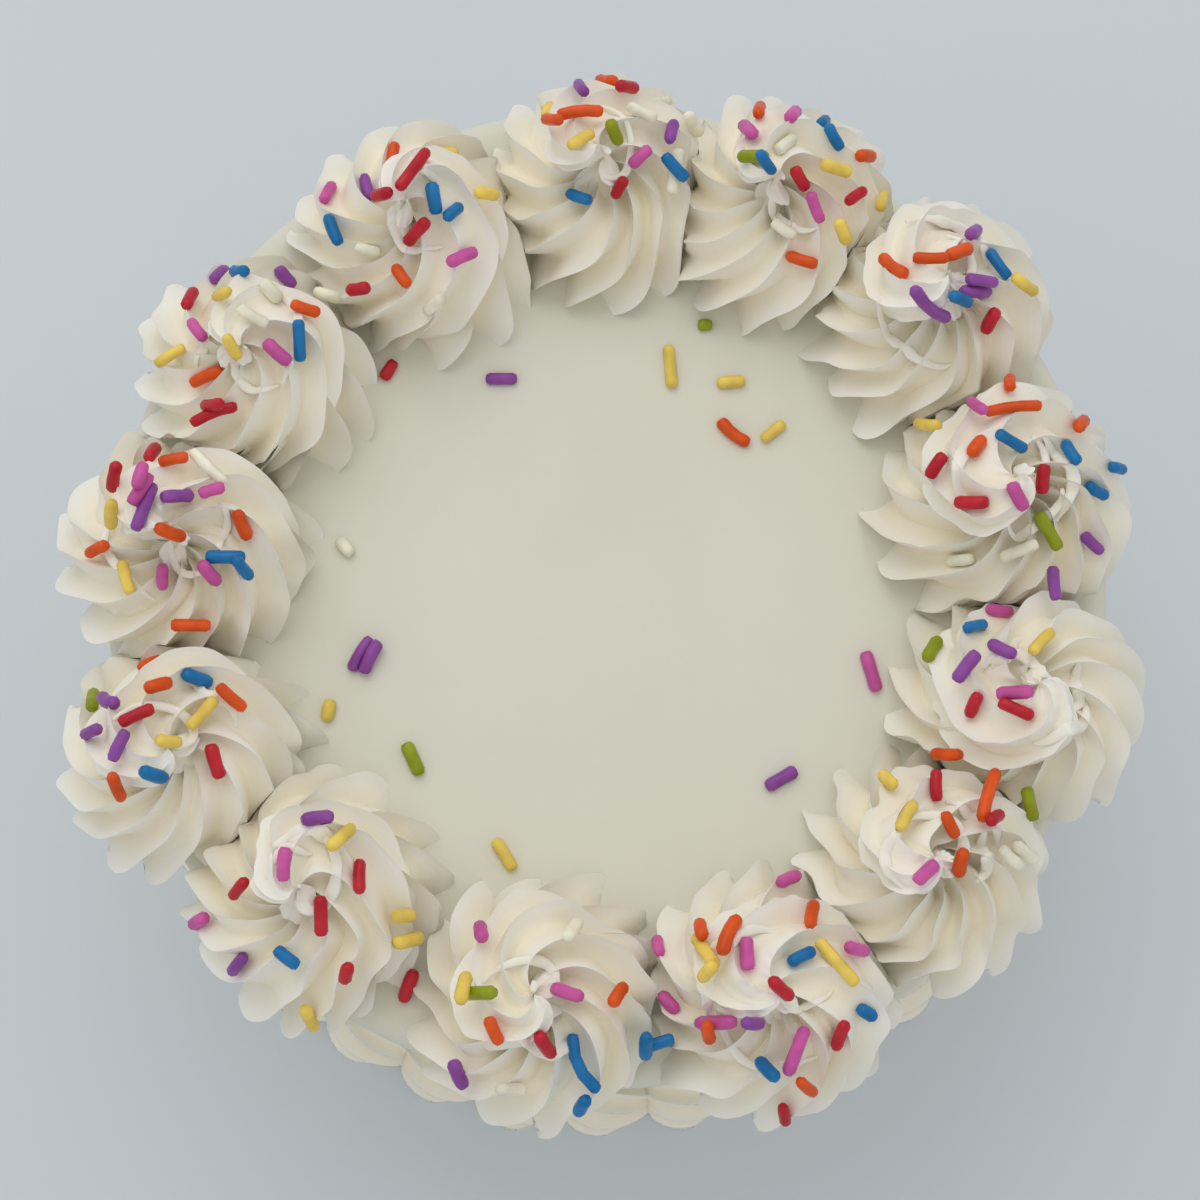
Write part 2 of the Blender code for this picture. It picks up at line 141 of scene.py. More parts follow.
def tube_faces(rows, columns):
    """Quads between neighbouring rows, and a fan at each end: its pole is the first or the last point."""
    row = 1 + np.arange(rows - 1)[:, None] * columns
    column = np.arange(columns)[None, :]
    after = (column + 1) % columns
    quads = np.stack([row + column, row + columns + column, row + columns + after, row + after], -1)
    first = 1 + column[0]
    last = 1 + (rows - 1) * columns + column[0]
    pole = 1 + rows * columns
    start = np.stack([0 * first, first, 1 + after[0]], -1)
    end = np.stack([0 * last + pole, 1 + (rows - 1) * columns + after[0], last], -1)
    return quads.reshape(-1, 4).tolist() + start.tolist() + end.tolist()


def tube_points(grid):
    """The points of a grid in one list, between a pole at the middle of its first row and one at its last."""
    flat = grid.reshape(-1, 3)
    return np.concatenate([grid[:1].mean(1), flat, grid[-1:].mean(1)])


def add_piece(name, points, faces, material):
    """A smooth mesh object that rides on the model's one body."""
    mesh = bpy.data.meshes.new(name)
    mesh.from_pydata(points.tolist(), [], faces)
    mesh.shade_smooth()
    piece = bpy.data.objects.new(name, mesh)
    bpy.context.scene.collection.objects.link(piece)
    mesh.materials.append(material)
    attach(piece, "root")
    return piece


def smooth_step(x):
    """0 below 0, 1 above 1, and a smooth rise between."""
    x = np.clip(x, 0.0, 1.0)
    return x * x * (3.0 - 2.0 * x)


def slow_wave(rng, x, cycles=1.0, count=3):
    """An uneven wave between about -1 and 1: a sum of sines with drawn cycles per unit and drawn phases."""
    wave = 0.0 * x
    for _ in range(count):
        wave = wave + np.sin(TAU * (x * rng.uniform(*CYCLE_SPREAD) * cycles + rng.uniform()))
    return wave / count


# %% [markdown]
# ## Icing
#
# Buttercream is soft, bright and nearly matt. Light bounces between the walls of its creases and fills them
# with cream and not with grey, so its colours are high. That light is painted into the colour: the grooves,
# which an attribute marks, are painted creamier than the crests as painted bounce light, and the crests are
# painted whiter as a painted highlight. Subsurface scattering would do this too, but takes far longer to
# render and can't be told apart at this size. Colours change slowly from place to place, as icing isn't
# stirred evenly. A fine bump stands for air bubbles, and on the piped rope also for the streaks that the
# nozzle drags along it. The streaks read a UV map, as a plain noise couldn't follow a rope that twists.

# %% Node helpers


def new_material(name):
    """A material, its node tree and its shader, and the place on the object that its patterns read."""
    material = bpy.data.materials.new(name)
    material.use_nodes = True
    tree = material.node_tree
    place = tree.nodes.new("ShaderNodeTexCoord").outputs["Object"]
    return material, tree, tree.nodes["Principled BSDF"], place


def noise(tree, place, scale, detail=2.0, roughness=0.5):
    node = tree.nodes.new("ShaderNodeTexNoise")
    node.inputs["Scale"].default_value = scale
    node.inputs["Detail"].default_value = detail
    node.inputs["Roughness"].default_value = roughness
    tree.links.new(place, node.inputs["Vector"])
    return node.outputs["Fac"]


def ramp(tree, value, span, colours):
    """A colour that changes from the first to the second while the value crosses the span."""
    node = tree.nodes.new("ShaderNodeValToRGB")
    for element, position, colour in zip(node.color_ramp.elements, span, colours):
        element.position = position
        element.color = (*colour, 1.0)
    tree.links.new(value, node.inputs["Fac"])
    return node.outputs["Color"]


def mixed(tree, share, first, second):
    node = tree.nodes.new("ShaderNodeMix")
    node.data_type = "RGBA"
    tree.links.new(share, node.inputs["Factor"])
    tree.links.new(first, node.inputs["A"])
    tree.links.new(second, node.inputs["B"])
    return node.outputs["Result"]


def bumped(tree, shader, height, strength, distance):
    node = tree.nodes.new("ShaderNodeBump")
    node.inputs["Strength"].default_value = strength
    node.inputs["Distance"].default_value = distance
    tree.links.new(height, node.inputs["Height"])
    tree.links.new(node.outputs["Normal"], shader.inputs["Normal"])


# %% Smooth and piped icing
SMOOTH_CREAM = ((0.715, 0.700, 0.580), (0.745, 0.730, 0.615))
# Piped icing: the crest colour is whiter, a painted highlight, and the groove colour warmer, painted bounce
# light; each pair spans the cream's uneven tone.
CREST_CREAM_WITH_PAINTED_HIGHLIGHT = ((0.905, 0.880, 0.800), (0.930, 0.910, 0.840))
GROOVE_CREAM_WITH_PAINTED_BOUNCE = ((0.900, 0.825, 0.635), (0.920, 0.855, 0.690))
PATCH_SPAN = (0.35, 0.65)
SMOOTH_PATCHES = 28.0
PIPED_PATCHES = 90.0
SMOOTH_ROUGHNESS = 0.52
PIPED_ROUGHNESS = 0.46
ICING_SPECULAR = 0.35
ICING_DETAIL = 3.0
SMOOTH_PORES = 900.0
PIPED_PORES = 1100.0
SMOOTH_BUMP = 0.10
PIPED_BUMP = 0.2
BUMP_DEPTH = 0.15 * MM
STREAKS = (5.0, 80.0, 0.0)
STREAK_ROUGHNESS = 0.6
STREAK_SHARE = 2.0


def make_icing(name, roughness):
    """The shader that both icings share: a soft sheen over cream."""
    material, tree, shader, place = new_material(name)
    shader.inputs["Roughness"].default_value = roughness
    shader.inputs["Specular IOR Level"].default_value = ICING_SPECULAR
    return material, tree, shader, place


def smooth_icing():
    material, tree, shader, place = make_icing("smooth_icing", SMOOTH_ROUGHNESS)
    patches = noise(tree, place, SMOOTH_PATCHES, ICING_DETAIL)
    tree.links.new(ramp(tree, patches, PATCH_SPAN, SMOOTH_CREAM), shader.inputs["Base Color"])
    bumped(tree, shader, noise(tree, place, SMOOTH_PORES, ICING_DETAIL), SMOOTH_BUMP, BUMP_DEPTH)
    return material


def piped_icing():
    material, tree, shader, place = make_icing("piped_icing", PIPED_ROUGHNESS)
    patches = noise(tree, place, PIPED_PATCHES, ICING_DETAIL)
    groove = tree.nodes.new("ShaderNodeAttribute")
    groove.attribute_name = "groove"
    # The crest colour carries a painted highlight and the groove colour painted bounce light; the groove
    # depth mixes them.
    crest = ramp(tree, patches, PATCH_SPAN, CREST_CREAM_WITH_PAINTED_HIGHLIGHT)
    deep = ramp(tree, patches, PATCH_SPAN, GROOVE_CREAM_WITH_PAINTED_BOUNCE)
    tree.links.new(mixed(tree, groove.outputs["Fac"], crest, deep), shader.inputs["Base Color"])
    along = tree.nodes.new("ShaderNodeUVMap")
    along.uv_map = "streaks"
    stretched = tree.nodes.new("ShaderNodeVectorMath")
    stretched.operation = "MULTIPLY"
    stretched.inputs[1].default_value = STREAKS
    tree.links.new(along.outputs["UV"], stretched.inputs[0])
    streaks = noise(tree, stretched.outputs["Vector"], 1.0, ICING_DETAIL, STREAK_ROUGHNESS)
    pores = noise(tree, place, PIPED_PORES, ICING_DETAIL)
    relief = tree.nodes.new("ShaderNodeMath")
    relief.operation = "MULTIPLY_ADD"
    relief.inputs[1].default_value = STREAK_SHARE
    tree.links.new(streaks, relief.inputs[0])
    tree.links.new(pores, relief.inputs[2])
    bumped(tree, shader, relief.outputs["Value"], PIPED_BUMP, BUMP_DEPTH)
    return material


SMOOTH = smooth_icing()
PIPED = piped_icing()
print("icing materials:", SMOOTH.name, PIPED.name)

# %% [markdown]
# ## The body
#
# The cake was iced with a spatula on a turntable: a straight side, a rounded edge and a level top, each a few
# tenths of a millimetre uneven. A lathe profile gives the form. Broad waves, level with the turntable on the
# side and in no direction on the top, are added to the radius and the height.

# %% The iced body
SIDE_ROWS = 60
EDGE_ROWS = 14
TOP_ROWS = 70
BODY_COLUMNS = 300
BODY_SEED = 5
POLE_RADIUS = 0.4 * MM
FOOT_FADE = 6 * MM
SIDE_WAVE = 0.25 * MM
SIDE_DRAGS = 7.0
DRAG_SHARE = 0.35
SIDE_SWELLS = (3, 5)
SWELL_SHARE = 0.3
INWARD_SHARE = 0.7
TOP_WAVE = 0.16 * MM
WAVE_LENGTHS = (101 * MM, 131 * MM, 53 * MM, 66 * MM)
WAVE_PHASE = 1.0
SLANTED_SHARE = 0.5


def body_profile():
    """Radius and height from the foot up the side, round a quarter circle, and in nearly to the middle."""
    quarter = np.linspace(0.0, math.pi / 2, EDGE_ROWS, endpoint=False)
    side = np.linspace(0.0, CAKE_HEIGHT - EDGE_ROUND, SIDE_ROWS, endpoint=False)
    top = np.linspace(CAKE_RADIUS - EDGE_ROUND, POLE_RADIUS, TOP_ROWS)
    radii = np.concatenate([0 * side + CAKE_RADIUS, CAKE_RADIUS - EDGE_ROUND * (1 - np.cos(quarter)), top])
    heights = np.concatenate([side, CAKE_HEIGHT - EDGE_ROUND * (1 - np.sin(quarter)), 0 * top + CAKE_HEIGHT])
    return radii[:, None], heights[:, None]


def side_waves(heights, angle):
    """How far the side is from round: waves up it, waves round it, and a small step inwards."""
    rng = np.random.default_rng(BODY_SEED)
    lap = angle / TAU
    on_side = smooth_step((CAKE_HEIGHT - heights) / EDGE_ROUND) * smooth_step(heights / FOOT_FADE)
    drag = slow_wave(rng, heights / CAKE_HEIGHT, SIDE_DRAGS)
    swell = sum(np.sin(TAU * (count * lap + rng.uniform())) for count in SIDE_SWELLS)
    return SIDE_WAVE * (DRAG_SHARE * drag + SWELL_SHARE * swell - INWARD_SHARE) * on_side


def top_waves(x, y, heights):
    """How far the top is from level: a pattern of crossed waves and one slanted wave."""
    first, second, third, fourth = WAVE_LENGTHS
    bumps = np.sin(TAU * x / first + WAVE_PHASE) * np.sin(TAU * y / second)
    bumps = bumps + SLANTED_SHARE * np.sin(TAU * (x / third + y / fourth))
    return TOP_WAVE * bumps * smooth_step((heights - CAKE_HEIGHT + EDGE_ROUND) / EDGE_ROUND)


def build_body():
    radii, heights = body_profile()
    angle = -np.linspace(0.0, TAU, BODY_COLUMNS, endpoint=False)[None, :]
    out = radii + side_waves(heights, angle)
    x = out * np.cos(angle)
    y = out * np.sin(angle)
    grid = np.stack([x, y, heights + top_waves(x, y, heights)], -1)
    piece = add_piece("iced_body", tube_points(grid), tube_faces(*grid.shape[:2]), SMOOTH)
    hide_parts("cake_body")
    return piece


body = build_body()
print("body:", len(body.data.polygons), "faces")

# %% [markdown]
# ## The swirls
#
# A swirl is a rope of icing from a star nozzle, laid in a coil that draws in as it climbs. The star turns
# round the rope's middle as the coil goes round: twice in a turn at the foot and more slowly near the top.
# That makes the ridges that run up from the foot, over the shoulder and in to the peak. Where the rope
# touches the cake its crests are pressed outwards and end in pointed petals.
#
# It could be made with a curve and a bevel shape, but a curve's bevel doesn't turn by a rule of ours. Here it
# is a grid: one parameter runs along the rope and one round its section. The section's columns follow the
# teeth, so that a line of points lies on every crest, and crowd together there, which keeps the crest sharp.

# %% The rope's sizes, for a swirl of the usual width
SWIRL_WIDTH = 37 * MM
STAR_TEETH = 7
STAR_GROOVE = 0.34
STAR_SHARPNESS = 0.8
CREST_LEAN = 0.2
TWIST_AT_FOOT = 2.0
TWIST_AT_TOP = 0.6
TWIST_FADE = 0.5
FOOT_FLARE = 0.26
FLARE_HEIGHT = 5.0 * MM
FLARE_POWER = 1.5
TUCK_START = 0.6 * MM
TUCK_DEPTH = 2.5 * MM
ROPE_RADIUS = 10.8 * MM
ROPE_END_RADIUS = 5.0 * MM
ROPE_SQUASH = 0.86
COIL_RADIUS = 6.6 * MM
COIL_END_RADIUS = 1.0 * MM
LEVEL_TURNS = 0.9
DRAW_IN_POWER = 1.5
ROPE_START_HEIGHT = 2.0 * MM
LEVEL_RISE = 2.5 * MM
CLIMB = 16.5 * MM
SWELL_TURNS = 0.07
THIN_TURNS = 0.34
THIN_POWER = 0.7
PEAK_TURNS = 0.3
PEAK_LIFT = 0.8 * MM
END_TURNS = 0.45
END_GROOVE = 0.25
TIP_TURNS = 0.01
CORE_PROFILE = ((10, 0), (10, 1), (6, 8), (1, 13))  # radius and height in mm
CORE_SIDES = 48
STEPS_PER_TURN = 160
COLUMNS_PER_TOOTH = 16
CROWDING = 0.75
COIL_UNEVEN = 0.05
COIL_WAVES = 1.2
ROPE_UNEVEN = 0.035
ROPE_WAVES = 2.5
CREST_RIPPLE = 0.03
RIPPLES = 16
RIPPLE_LEAN = 2
RIPPLE_SINES = 5
SCOOP_WAVE = 0.03
SCOOP_WAVES = 3
SCOOP_LEAN = 2.3
FLARE_UNEVEN = 0.5
FLARE_WAVES = 7.0
TOOTH_SHIFT = 0.12
TOOTH_DEPTHS = (0.85, 1.12)


def section_angles(rng):
    """Angles round the star, crowded near its crests, and how deep each is in its groove.

    In each tooth the place w runs from 0 to 1 and is moved by -c sin(2 pi w) / (2 pi), which crowds the
    points near 0 and 1. The groove's depth there is sin(pi w) to a power below 1.
    """
    w = np.arange(COLUMNS_PER_TOOTH) / COLUMNS_PER_TOOTH
    w = w - CROWDING * np.sin(TAU * w) / TAU
    tooth = np.arange(STAR_TEETH) + rng.uniform(-TOOTH_SHIFT, TOOTH_SHIFT, STAR_TEETH)
    gap = np.diff(np.append(tooth, tooth[0] + STAR_TEETH))
    around = (tooth[:, None] + gap[:, None] * w) * TAU / STAR_TEETH
    deep = np.sin(math.pi * w) ** STAR_SHARPNESS * rng.uniform(*TOOTH_DEPTHS, STAR_TEETH)[:, None]
    return around.reshape(1, -1), deep.reshape(1, -1)


def rope_line(turn, turns, rng):
    """How far the rope has climbed, its coil's radius, its own radius and its height, along its turns.

    It rises a little in the first LEVEL_TURNS. Then it climbs evenly, and its coil and its radius draw in as
    the climb to a power. It swells up where it starts, and thins out at its end while its tip is drawn up.
    """
    left = turns - turn
    climbed = np.clip((turn - LEVEL_TURNS) / (turns - LEVEL_TURNS), 0.0, 1.0)
    drawn_in = climbed**DRAW_IN_POWER
    coil = COIL_RADIUS + (COIL_END_RADIUS - COIL_RADIUS) * drawn_in
    coil = coil * (1 + COIL_UNEVEN * slow_wave(rng, turn, COIL_WAVES))
    rope = ROPE_RADIUS + (ROPE_END_RADIUS - ROPE_RADIUS) * drawn_in
    rope = rope * (1 + ROPE_UNEVEN * slow_wave(rng, turn, ROPE_WAVES))
    rope = rope * np.sqrt(np.clip((turn + TIP_TURNS) / SWELL_TURNS, 0.0, 1.0))
    rope = rope * np.clip((left + TIP_TURNS) / THIN_TURNS, 0.0, 1.0) ** THIN_POWER
    height = ROPE_START_HEIGHT + LEVEL_RISE * np.minimum(turn / LEVEL_TURNS, 1.0) + CLIMB * climbed
    height = height + PEAK_LIFT * np.clip(1 - left / PEAK_TURNS, 0.0, 1.0) ** 2
    return climbed, coil, rope, height


def wrinkles(turn, around, deep, rng):
    """Unevenness as a share of the rope's radius: short ripples on the crests, longer waves between."""
    ripple = slow_wave(rng, turn * RIPPLES + around * RIPPLE_LEAN, count=RIPPLE_SINES)
    wave = slow_wave(rng, turn * SCOOP_WAVES + around * SCOOP_LEAN)
    return CREST_RIPPLE * ripple * (1 - deep) + SCOOP_WAVE * wave * deep


def foot_flare(turn, over_cake, section, deep, rng):
    """How far the crests splay near the cake, as a share of the rope's radius.

    The share falls off with the height over the cake as exp(-(height / FLARE_HEIGHT)^2), with the cosine of
    the section's angle, so that only the outside splays, and with a power of what the groove leaves.
    """
    outward = np.maximum(np.cos(section), 0.0)
    flare = FOOT_FLARE * (1 + FLARE_UNEVEN * slow_wave(rng, turn, FLARE_WAVES))
    foot = flare * np.exp(-((over_cake / FLARE_HEIGHT) ** 2)) * outward
    return foot * np.maximum(1 - deep, 0.0) ** FLARE_POWER


def rope_grid(swirl, rng):
    """Points of the rope and their depth in the star's grooves.

    out = coil + star cos(section angle), up = height + squash star sin(section angle), and both go round by
    the turn's angle. star is the rope's radius, less the groove's share of it, plus its wrinkles and its
    flare. Points below the cake are tucked in.
    """
    rows = round(STEPS_PER_TURN * swirl.turns)
    turn = np.linspace(0.0, swirl.turns, rows)[:, None]
    climbed, coil, rope, height = rope_line(turn, swirl.turns, rng)
    around, deep = section_angles(rng)
    deep = deep * (END_GROOVE + (1 - END_GROOVE) * smooth_step((swirl.turns - turn) / END_TURNS))
    twist_rate = TWIST_AT_FOOT + (TWIST_AT_TOP - TWIST_AT_FOOT) * smooth_step(climbed / TWIST_FADE)
    twist = TAU * np.cumsum(twist_rate, 0) * swirl.turns / rows
    star = rope * (1 - STAR_GROOVE * deep + wrinkles(turn, around, deep, rng) * swirl.rough)
    angle = math.radians(swirl.start) + TAU * turn
    section = around + twist + CREST_LEAN * (1 - deep)
    over_cake = height + ROPE_SQUASH * star * np.sin(section)
    star = star + rope * foot_flare(turn, over_cake, section, deep, rng)
    up = height + ROPE_SQUASH * star * np.sin(section)
    tucked = 1 - np.clip((-up - TUCK_START) / TUCK_DEPTH, 0.0, 1.0)
    out = coil + star * np.cos(section) * tucked
    return np.stack([out * np.cos(angle), out * np.sin(angle), up], -1), deep


# %% [markdown]
# A swirl also rests on the cake and leans on its neighbours. Points that would lie past half-way to the next
# swirl are pressed back to an uneven wall between the two, and points under the cake's top are lifted to just
# below its skin, so that no gap shows. Past the cake's edge nothing holds the icing up, so it sags a
# little. Before that, slow waves warp the whole swirl: all thirteen share one formula, and a hand repeats
# nothing.

# %% Settle a swirl between its neighbours
SEAM_GAP = 0.1 * MM
SEAM_WAVE = 0.7 * MM
SEAM_LENGTH = 15 * MM
SEAM_HEIGHT = 12.6 * MM
SAG_START = CAKE_RADIUS - 2 * MM
SAG = 25.0
REST_GAP = -0.45 * MM
WARP = 1.5 * MM
WARP_WAVES = 4
WARP_LENGTHS = (9 * MM, 22 * MM)
FREE_HEIGHT = 6 * MM
SHARP_ANGLE = math.radians(60)
SWIRL_SEED = 100
POLE_DEPTH = 0.5
SIDE_TILT = 0.1


def seam_wave(across, points):
    """How far the wall between two swirls wanders. Both of them read the same wall, so its sign is shared."""
    side = np.sign(across[0] + SIDE_TILT * across[1])
    along = side * (points[:, 0] * across[1] - points[:, 1] * across[0])
    return side * SEAM_WAVE * np.sin(TAU * (along / SEAM_LENGTH + points[:, 2] / SEAM_HEIGHT))


def warped(points, rng):
    """Points moved a little by slow waves across each other, as no hand pipes two petals alike.

    Each coordinate gets WARP times a mean of sines of the place, with drawn directions, lengths and phases.
    Near the cake's top a swirl isn't moved up or down, so that its feet stay on the cake.
    """
    moved = points.copy()
    for axis in range(3):
        for _ in range(WARP_WAVES):
            direction = rng.normal(size=3)
            direction = direction / np.linalg.norm(direction) * TAU / rng.uniform(*WARP_LENGTHS)
            moved[:, axis] += WARP / WARP_WAVES * np.sin(points @ direction + rng.uniform(0.0, TAU))
    free = smooth_step((points[:, 2] - CAKE_HEIGHT) / FREE_HEIGHT)
    moved[:, 2] = points[:, 2] + (moved[:, 2] - points[:, 2]) * free
    return moved


def settled(points, swirl, neighbours):
    """Points pressed back to the walls between swirls, lifted on to the cake, and sagged past its edge.

    The sag is SAG times the square of the way past SAG_START, both in metres.
    """
    middle = np.array([swirl.x, swirl.y]) * MM
    for other in neighbours:
        across = np.array([other.x, other.y]) * MM - middle
        half_way = np.linalg.norm(across) / 2 - SEAM_GAP
        across = across / np.linalg.norm(across)
        wall = half_way + seam_wave(across, points)
        excess = np.maximum((points[:, :2] - middle) @ across - wall, 0.0)
        points[:, :2] -= excess[:, None] * across
    points[:, 2] = np.maximum(points[:, 2], CAKE_HEIGHT + REST_GAP)
    past_edge = np.maximum(np.linalg.norm(points[:, :2], axis=1) - SAG_START, 0.0)
    points[:, 2] -= SAG * past_edge**2
    return points


def core_grid():
    """A blunt cone that fills the middle of the coil."""
    angle = -np.linspace(0.0, TAU, CORE_SIDES, endpoint=False)[None, :]
    radii, heights = np.array(CORE_PROFILE).T[..., None] * MM
    return np.stack([radii * np.cos(angle), radii * np.sin(angle), heights + 0 * angle], -1)


def write_groove(piece, values):
    """Each point's depth in a groove, from 0 on a crest to about 1, which the icing's colour reads: a painted
    highlight on the crests and painted bounce light in the grooves.
    """
    layer = piece.data.attributes.new("groove", "FLOAT", "POINT")
    layer.data.foreach_set("value", values.astype(np.float32))


def write_streaks(piece, rows, columns):
    """A UV map along and round a rope: u counts its rows and v its columns, for the quads that come first."""
    row = np.repeat(np.arange(rows - 1), columns)[:, None]
    column = np.tile(np.arange(columns), rows - 1)[:, None]
    u = (row + (0, 1, 1, 0)) / STEPS_PER_TURN
    v = (column + (0, 0, 1, 1)) / columns
    layer = piece.data.uv_layers.new(name="streaks")
    uv = np.zeros((len(piece.data.loops), 2), np.float32)
    uv[: u.size] = np.stack([u.reshape(-1), v.reshape(-1)], 1)
    layer.data.foreach_set("uv", uv.reshape(-1))


def build_swirl(number):
    swirl = SWIRLS[number]
    neighbours = (SWIRLS[number - 1], SWIRLS[(number + 1) % len(SWIRLS)])
    rng = np.random.default_rng(SWIRL_SEED + number)
    rope, deep = rope_grid(swirl, rng)
    core = core_grid()
    rope_points, core_points = tube_points(rope), tube_points(core)
    size = swirl.width * MM / SWIRL_WIDTH
    points = np.concatenate([rope_points, core_points]) * size + (swirl.x * MM, swirl.y * MM, CAKE_HEIGHT)
    points = settled(warped(points, rng), swirl, neighbours)
    faces = tube_faces(*rope.shape[:2])
    shifted = [[index + len(rope_points) for index in face] for face in tube_faces(*core.shape[:2])]
    piece = add_piece(f"piped_swirl_{number + 1:02d}", points, faces + shifted, PIPED)
    # The icing's colour reads this depth as a painted highlight on crests and painted bounce light in
    # grooves; the poles get a middle value and the core the groove colour.
    groove = np.concatenate([[POLE_DEPTH], deep.reshape(-1), [POLE_DEPTH], np.ones(len(core_points))])
    piece.data.set_sharp_from_angle(angle=SHARP_ANGLE)
    write_groove(piece, groove)
    write_streaks(piece, *rope.shape[:2])
    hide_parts(f"swirl_{number + 1:02d}")
    return piece


swirls = [build_swirl(number) for number in range(len(SWIRLS))]
print("swirls:", sum(len(piece.data.polygons) for piece in swirls), "faces")

# %% [markdown]
# Where the nozzle is pulled away, the icing tears off in a thin soft strand that curls over the top of the
# swirl, and a few more lie where the rope's crests broke. Each strand is a flat tube along a spiral. Its
# height comes from rays cast down on the icing, smoothed so that it bridges the grooves as a real one does.
# A spiral is given by its first and last radius in mm, its first angle and its turns.

# %% Torn strands on the swirls
ABOVE_CAKE = 200 * MM
STRAND_SEED = 31
STRAND_ROWS = 60
STRAND_COLUMNS = 12
STRANDS_FOR_ROUGHNESS = 2.2
TAIL_RADII = (1.0, 8.0)
TORN_RADII = (5.0, 11.0)
TORN_DRIFTS = (-2.0, 2.5)
TORN_TURNS = (0.15, 0.32)
SPIRAL_WAVE = 0.5
SPIRAL_WAVES = 1.3
STRAND_WIDTHS = (0.6 * MM, 1.1 * MM)
STRAND_END = 0.06
STRAND_TAPER = 0.8
STRAND_UNEVEN = 0.2
STRAND_SWELLS = 4.0
STRAND_FLATNESS = 0.38
STRAND_RISE = -0.3 * MM
# How much of the groove colour's painted bounce light, against the crest colour's painted highlight, the
# strands get
STRAND_PAINTED_LIGHT_MIX = 0.35
BRIDGE = 5
BRIDGED_SHARE = 0.8
SOFTENED = 2


def icing_height(x, y):
    """The highest icing over a place on the plan."""
    above = Vector((x, y, ABOVE_CAKE))
    heights = [0.0]
    for piece in iced:
        hit, place, _, _ = piece.ray_cast(above, Vector((0, 0, -1)))
        if hit:
            heights.append(place.z)
    return max(heights)


def moving(values, reach, how):
    """A moving mean or maximum over a reach on each side."""
    padded = np.pad(values, reach, mode="edge")
    return how([padded[k:k + len(values)] for k in range(2 * reach + 1)], 0)


def tail_spiral(swirl):
    """The strand that goes on from the rope's end and runs outwards over the top."""
    return *TAIL_RADII, math.radians(swirl.start) + TAU * swirl.turns, swirl.tail


def torn_spiral(swirl, rng):
    """A strand that broke off a crest anywhere on the swirl."""
    inner = rng.uniform(*TORN_RADII)
    outer = inner + rng.uniform(*TORN_DRIFTS)
    turns = rng.uniform(*TORN_TURNS)
    return inner, outer, math.radians(swirl.start) + TAU * rng.uniform(), turns


def strand_path(swirl, spiral, rng):
    """A spiral in plan from radius to radius, laid on the icing and smoothed along its length."""
    inner, outer, start, turns = spiral
    s = np.linspace(0.0, 1.0, STRAND_ROWS)
    wave = SPIRAL_WAVE * np.sin(TAU * (SPIRAL_WAVES * s + rng.uniform()))
    radius = (inner + (outer - inner) * s + wave) * MM
    angle = start + TAU * turns * s
    x = swirl.x * MM + radius * np.cos(angle)
    y = swirl.y * MM + radius * np.sin(angle)
    heights = np.array([icing_height(*place) for place in zip(x, y)])
    bridge = moving(moving(heights, BRIDGE, np.max), BRIDGE, np.mean)
    heights = moving(BRIDGED_SHARE * bridge + (1 - BRIDGED_SHARE) * heights, SOFTENED, np.mean)
    return np.stack([x, y, heights + STRAND_RISE], -1)


def strand_grid(path, rng):
    """A flat section carried along the path: its half width swells and tapers as sin(pi s) to a power."""
    s = np.linspace(0.0, 1.0, STRAND_ROWS)[:, None]
    taper = np.sin(math.pi * (STRAND_END + (1 - 2 * STRAND_END) * s)) ** STRAND_TAPER
    width = rng.uniform(*STRAND_WIDTHS) * taper
    width = width * (1 + STRAND_UNEVEN * slow_wave(rng, s, STRAND_SWELLS))
    tangent = np.gradient(path, axis=0)
    tangent = tangent / np.linalg.norm(tangent, axis=1, keepdims=True)
    side = np.cross(tangent, [0.0, 0.0, 1.0])
    side = side / np.linalg.norm(side, axis=1, keepdims=True)
    up = np.cross(side, tangent)
    around = np.linspace(0.0, TAU, STRAND_COLUMNS, endpoint=False)[None, :]
    out = width * np.cos(around)
    rise = STRAND_FLATNESS * width * np.sin(around)
    return path[:, None] + out[..., None] * side[:, None] + rise[..., None] * up[:, None]


def build_strands():
    rng = np.random.default_rng(STRAND_SEED)
    points, faces = [], []
    one = tube_faces(STRAND_ROWS, STRAND_COLUMNS)
    for swirl in SWIRLS:
        for number in range(round(STRANDS_FOR_ROUGHNESS * swirl.rough)):
            spiral = torn_spiral(swirl, rng) if number else tail_spiral(swirl)
            grid = strand_grid(strand_path(swirl, spiral, rng), rng)
            offset = sum(len(some) for some in points)
            points.append(tube_points(grid))
            faces += [[index + offset for index in face] for face in one]
    points = np.concatenate(points)
    piece = add_piece("torn_strands", points, faces, PIPED)
    # One mix of the painted highlight and painted bounce light for all strands
    write_groove(piece, np.full(len(points), STRAND_PAINTED_LIGHT_MIX))
    return piece


iced = [body, *swirls]
bpy.context.view_layer.update()
strands = build_strands()
iced.append(strands)
print("strands:", len(strands.data.polygons), "faces")

# %% [markdown]
# ## The shell border
#
# Round the foot runs a row of shells from the same nozzle. Each shell swells up where the nozzle rests, and
# is drawn off into a tail that the next shell covers. The border is a ring, so its grid wraps both ways.

# %% The border round the foot
SHELLS = 34
SHELL_STEPS = 26
BORDER_COLUMNS = 64
SHELL_RIDGES = 6
SHELL_GROOVE = 0.16
BORDER_WAIST = 0.55
BORDER_FULLNESS = 0.8
SHELL_LEAN = 0.8
RIDGE_SLANT = 0.5
RIDGE_SHARPNESS = 0.7
SHELL_UNEVEN = 0.04
UNEVEN_LAPS = 11
BORDER_SEED = 8
BEHIND_ANGLE = 0.25
BEHIND_WALL = 1.5 * MM


